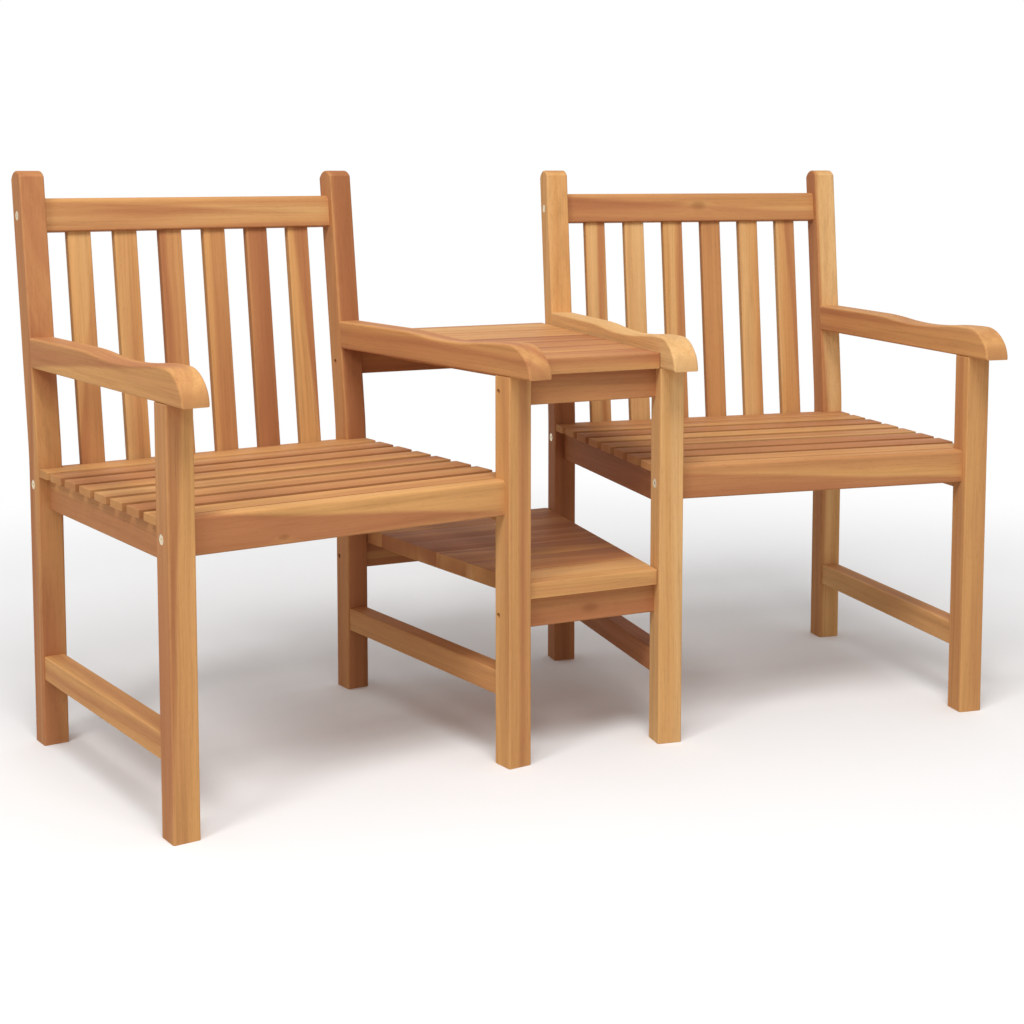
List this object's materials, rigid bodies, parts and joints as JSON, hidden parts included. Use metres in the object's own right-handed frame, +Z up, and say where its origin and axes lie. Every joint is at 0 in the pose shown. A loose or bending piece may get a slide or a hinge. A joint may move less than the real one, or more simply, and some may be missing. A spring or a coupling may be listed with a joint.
{
  "type": "garden companion seat",
  "caption": "Slatted teak garden armchairs turned in towards each other and joined by a wedge-shaped table with a shelf below.",
  "frame": {"origin": "on the floor, at the middle of the length and of the depth of the whole set", "axes": "+X along the length of the set, to the right of someone looking at its front; +Y to the back; +Z up"},
  "size_m": [1.5454, 0.7202, 0.9],
  "materials": {
    "teak_frame": "satin",
    "teak_slats": "satin",
    "teak_boards": "satin",
    "bolt_metal": "satin"
  },
  "bodies": {
    "root": {"joint_bolts": "bolt_metal", "left_arm_inner": "teak_frame", "left_arm_outer": "teak_frame", "left_back_leg_inner": "teak_frame", "left_back_leg_outer": "teak_frame", "left_back_slats": "teak_slats", "left_front_leg_inner": "teak_frame", "left_front_leg_outer": "teak_frame", "left_front_rail": "teak_frame", "left_rear_rail": "teak_frame", "left_rear_seat_slat": "teak_slats", "left_seat_bearer": "teak_frame", "left_seat_slats": "teak_slats", "left_side_rail_inner": "teak_frame", "left_side_rail_outer": "teak_frame", "left_stretcher_inner": "teak_frame", "left_stretcher_outer": "teak_frame", "left_top_rail": "teak_frame", "right_arm_inner": "teak_frame", "right_arm_outer": "teak_frame", "right_back_leg_inner": "teak_frame", "right_back_leg_outer": "teak_frame", "right_back_slats": "teak_slats", "right_front_leg_inner": "teak_frame", "right_front_leg_outer": "teak_frame", "right_front_rail": "teak_frame", "right_rear_rail": "teak_frame", "right_rear_seat_slat": "teak_slats", "right_seat_bearer": "teak_frame", "right_seat_slats": "teak_slats", "right_side_rail_inner": "teak_frame", "right_side_rail_outer": "teak_frame", "right_stretcher_inner": "teak_frame", "right_stretcher_outer": "teak_frame", "right_top_rail": "teak_frame", "shelf_batten_left": "teak_frame", "shelf_batten_right": "teak_frame", "shelf_board_1": "teak_boards", "shelf_board_2": "teak_boards", "shelf_board_3": "teak_boards", "shelf_board_4": "teak_boards", "shelf_board_5": "teak_boards", "shelf_board_6": "teak_boards", "shelf_front_apron": "teak_frame", "shelf_rear_apron": "teak_frame", "top_batten_left": "teak_frame", "top_batten_right": "teak_frame", "top_board_1": "teak_boards", "top_board_2": "teak_boards", "top_board_3": "teak_boards", "top_board_4": "teak_boards", "top_board_5": "teak_boards", "top_board_6": "teak_boards", "top_board_7": "teak_boards", "top_front_apron": "teak_frame", "top_rear_apron": "teak_frame"}
  },
  "joints": []
}
